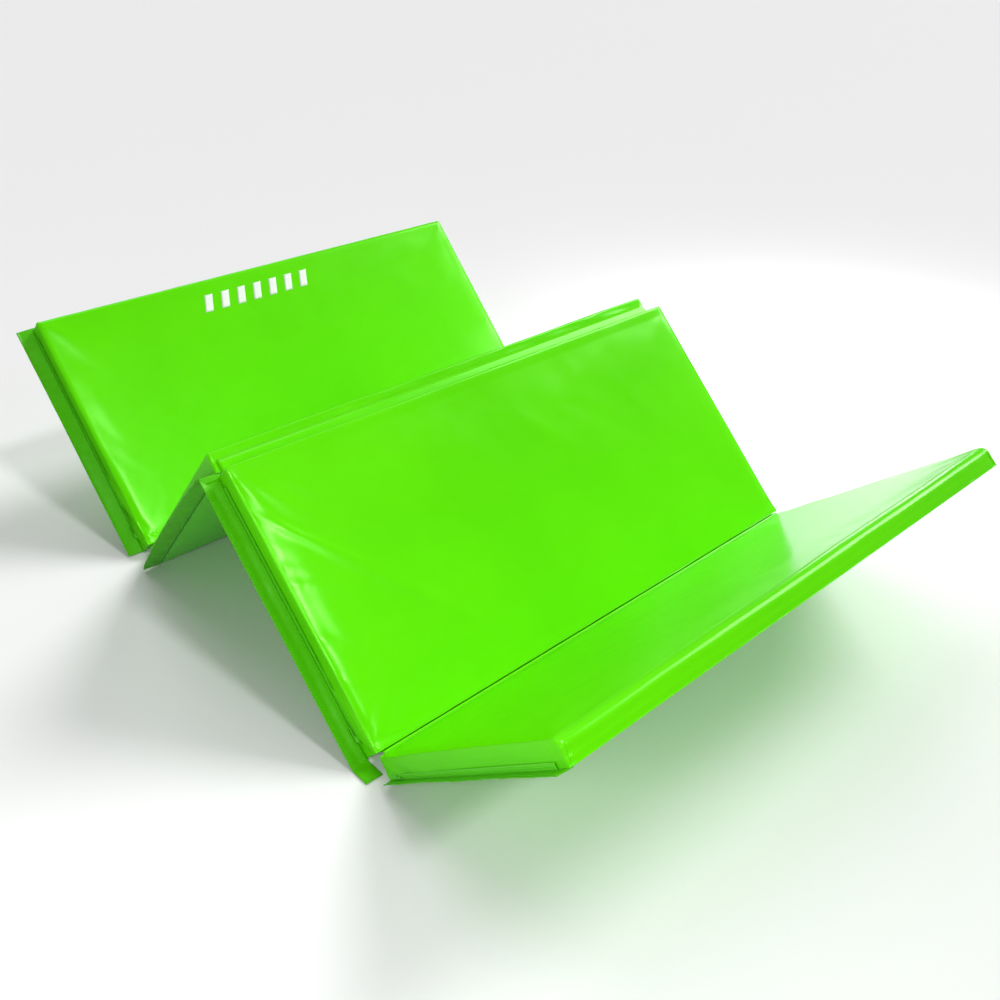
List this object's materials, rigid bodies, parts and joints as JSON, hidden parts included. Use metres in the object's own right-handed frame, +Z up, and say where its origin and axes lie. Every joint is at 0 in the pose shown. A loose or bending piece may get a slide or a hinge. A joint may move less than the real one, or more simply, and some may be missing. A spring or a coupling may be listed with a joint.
{
  "type": "folding gymnastics mat",
  "caption": "Folding gymnastics mat of padded rectangular panels in lime green vinyl, joined by fabric hinges and standing in a zigzag, with a flat flap along one side.",
  "frame": {"origin": "centre of the bounding box's underside, on the floor under the standing mat", "axes": "+X along the folds, away from the flap side; +Y from the front panel to the rear panel; +Z up"},
  "size_m": [1.256, 1.883, 0.4791],
  "materials": {
    "vinyl": "lime green PVC-coated polyester, semi-gloss with a fine emboss",
    "foam": "cream closed-cell polyethylene foam",
    "zip_tape": "woven green polyester tape with a nylon coil",
    "zip_slider": "die-cast, painted green"
  },
  "bodies": {
    "panel_1": {"panel_1_foam_core": "foam", "panel_1_cover_top": "vinyl", "panel_1_cover_base": "vinyl", "panel_1_side_flap": "vinyl", "panel_1_zip_tape": "zip_tape", "fold_12_leaf_1": "vinyl"},
    "panel_2": {"panel_2_foam_core": "foam", "panel_2_cover_top": "vinyl", "panel_2_cover_base": "vinyl", "panel_2_side_flap": "vinyl", "panel_2_zip_tape": "zip_tape", "fold_12_leaf_2": "vinyl", "fold_23_leaf_2": "vinyl"},
    "panel_3": {"panel_3_foam_core": "foam", "panel_3_cover_top": "vinyl", "panel_3_cover_base": "vinyl", "panel_3_side_flap": "vinyl", "panel_3_zip_tape": "zip_tape", "fold_23_leaf_3": "vinyl", "fold_34_leaf_3": "vinyl"},
    "panel_4": {"panel_4_foam_core": "foam", "panel_4_cover_top": "vinyl", "panel_4_cover_base": "vinyl", "panel_4_side_flap": "vinyl", "panel_4_zip_tape": "zip_tape", "fold_34_leaf_4": "vinyl"},
    "slider_1": {"panel_1_zip_slider": "zip_slider"},
    "slider_2": {"panel_2_zip_slider": "zip_slider"},
    "slider_3": {"panel_3_zip_slider": "zip_slider"},
    "slider_4": {"panel_4_zip_slider": "zip_slider"}
  },
  "joints": [
    {"name": "fold_12", "type": "hinge", "parent": "panel_2", "child": "panel_1", "pos_m": [0.018, 0.49349, 0.03426], "axis": [-1, 0, 0], "range_deg": [-87.1, 92.9]},
    {"name": "fold_23", "type": "hinge", "parent": "panel_3", "child": "panel_2", "pos_m": [0.018, 0.029, 0.4329], "axis": [1, 0, 0], "range_deg": [-89.69, 90.3]},
    {"name": "fold_34", "type": "hinge", "parent": "panel_3", "child": "panel_4", "pos_m": [0.018, -0.43865, 0.03799], "axis": [1, 0, 0], "range_deg": [-95.8, 84.2]},
    {"name": "zip_1_slide", "type": "slide", "parent": "panel_1", "child": "slider_1", "axis": [0, 0.6753, 0.7375], "range_m": [0, 0.525]},
    {"name": "zip_2_slide", "type": "slide", "parent": "panel_2", "child": "slider_2", "axis": [0, -0.7024, 0.7118], "range_m": [0, 0.525]},
    {"name": "zip_3_slide", "type": "slide", "parent": "panel_3", "child": "slider_3", "axis": [0, 0.7081, 0.7061], "range_m": [0, 0.525]},
    {"name": "zip_4_slide", "type": "slide", "parent": "panel_4", "child": "slider_4", "axis": [0, -0.7741, 0.6331], "range_m": [0, 0.525]}
  ]
}
